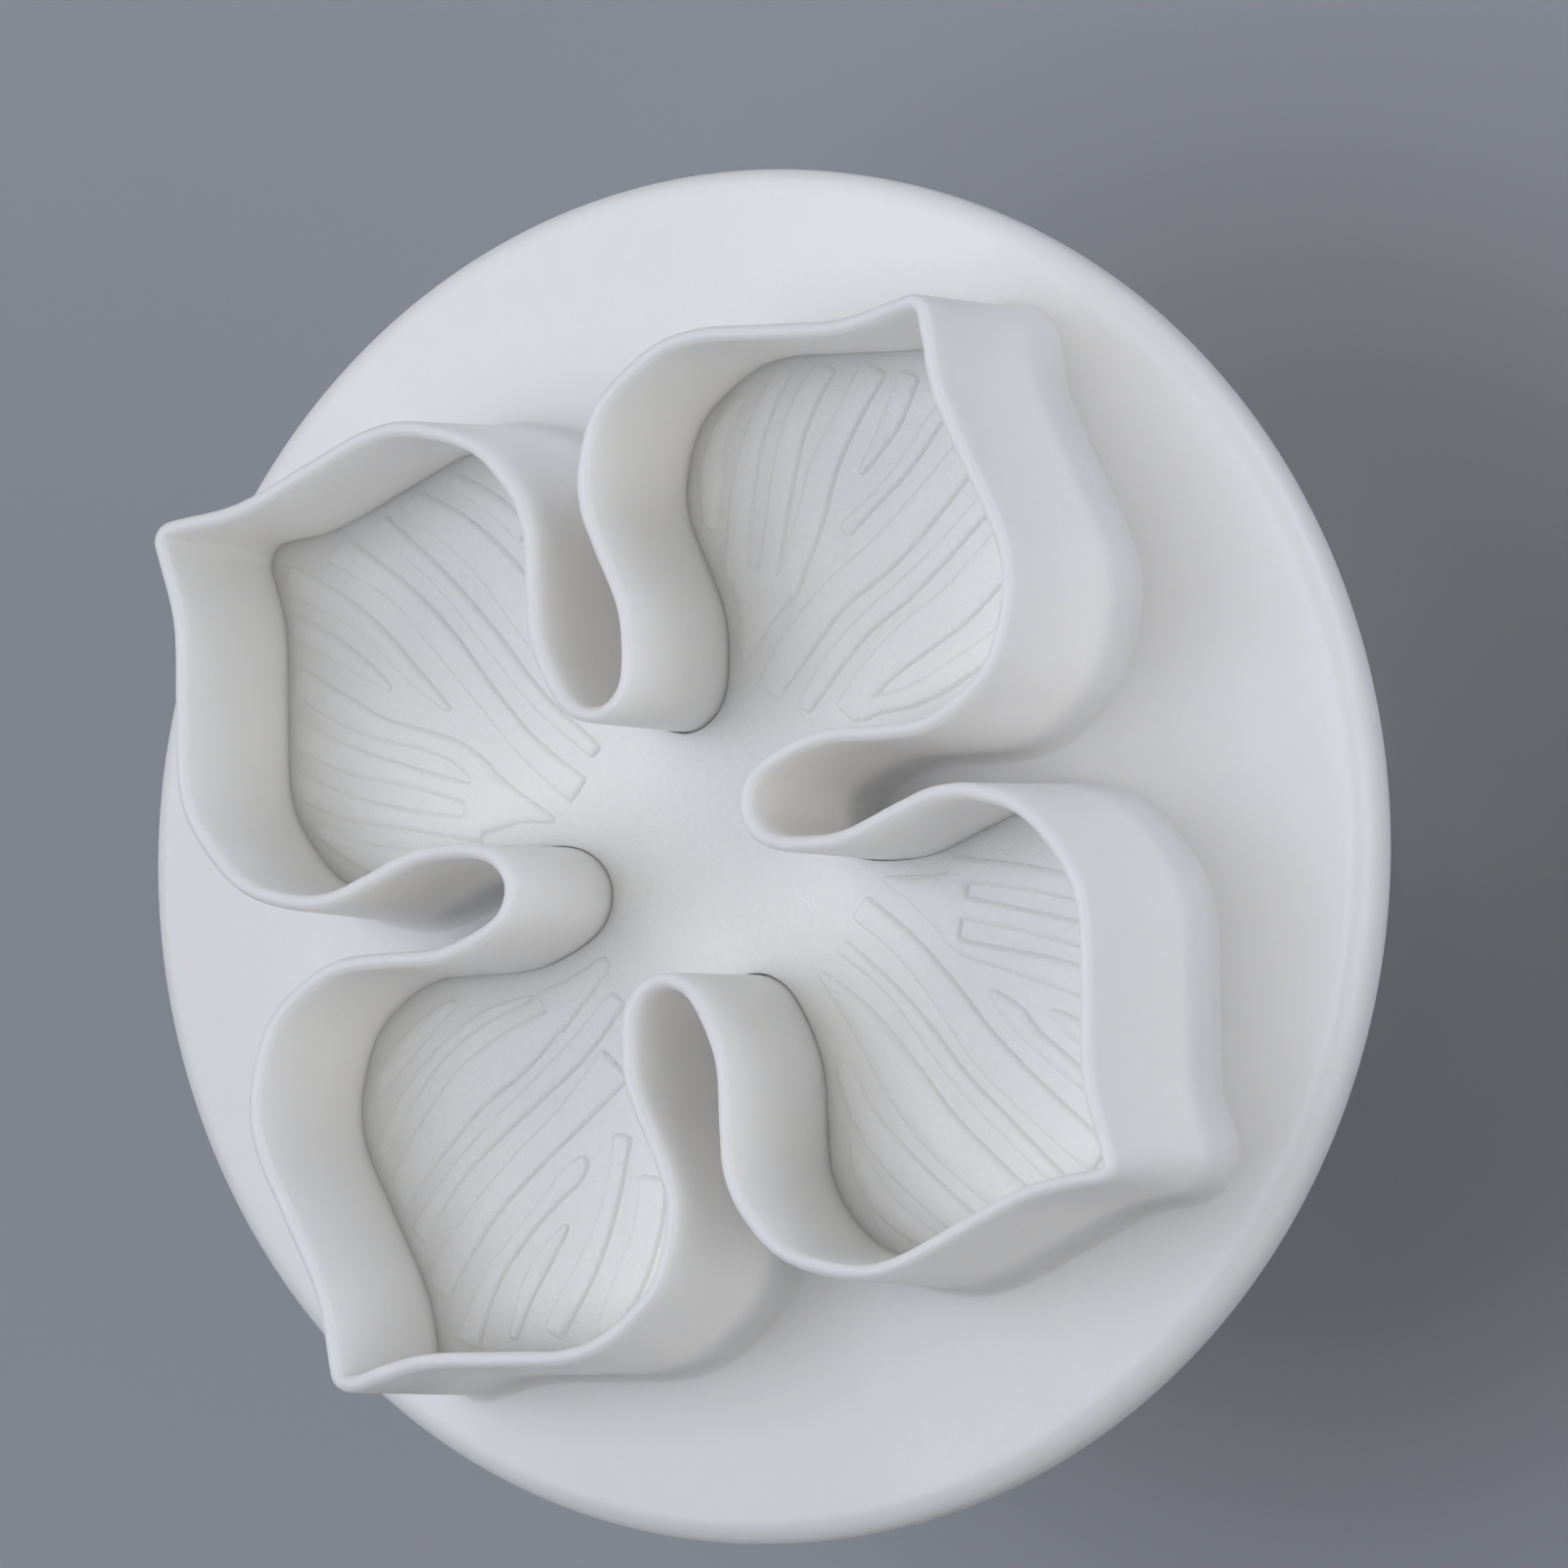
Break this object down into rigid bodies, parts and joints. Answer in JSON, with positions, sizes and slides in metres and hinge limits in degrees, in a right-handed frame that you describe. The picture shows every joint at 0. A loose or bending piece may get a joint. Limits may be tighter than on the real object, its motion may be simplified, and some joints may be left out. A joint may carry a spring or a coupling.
{
  "type": "plunger cutter",
  "caption": "Hand plunger cutter: a four-petal cutting wall on a round flange, with a sprung, veined embossing plate moved by a push knob behind it.",
  "frame": {"origin": "centre of the knob's rest face, on the plunger axis, under the cutting edge", "axes": "+Z along the plunger axis from the knob to the cutting edge; petal tips lie on the four XY diagonals, and the valleys between petals on X and Y"},
  "size_m": [0.0602, 0.0602, 0.0447],
  "materials": {
    "cutter_plastic": "satin white ABS",
    "plate_plastic": "satin white ABS with fine tool marks",
    "knob_plastic": "satin white ABS",
    "steel": "bright stainless steel"
  },
  "bodies": {
    "cutter": {"flange": "cutter_plastic", "cutting_wall": "cutter_plastic", "guide_sleeve": "cutter_plastic", "sleeve_gussets": "cutter_plastic", "return_spring": "steel"},
    "plunger": {"emboss_plate": "plate_plastic", "plunger_stem": "knob_plastic", "push_knob": "knob_plastic", "knob_cap": "knob_plastic", "fixing_screw": "steel", "screw_washer": "steel"}
  },
  "joints": [
    {"name": "plunger_slide", "type": "slide", "parent": "cutter", "child": "plunger", "axis": [0, 0, 1], "range_m": [0, 0.0096], "stiffness_N_per_m": 400, "springref_m": -0.004, "deforming": ["return_spring"]}
  ]
}
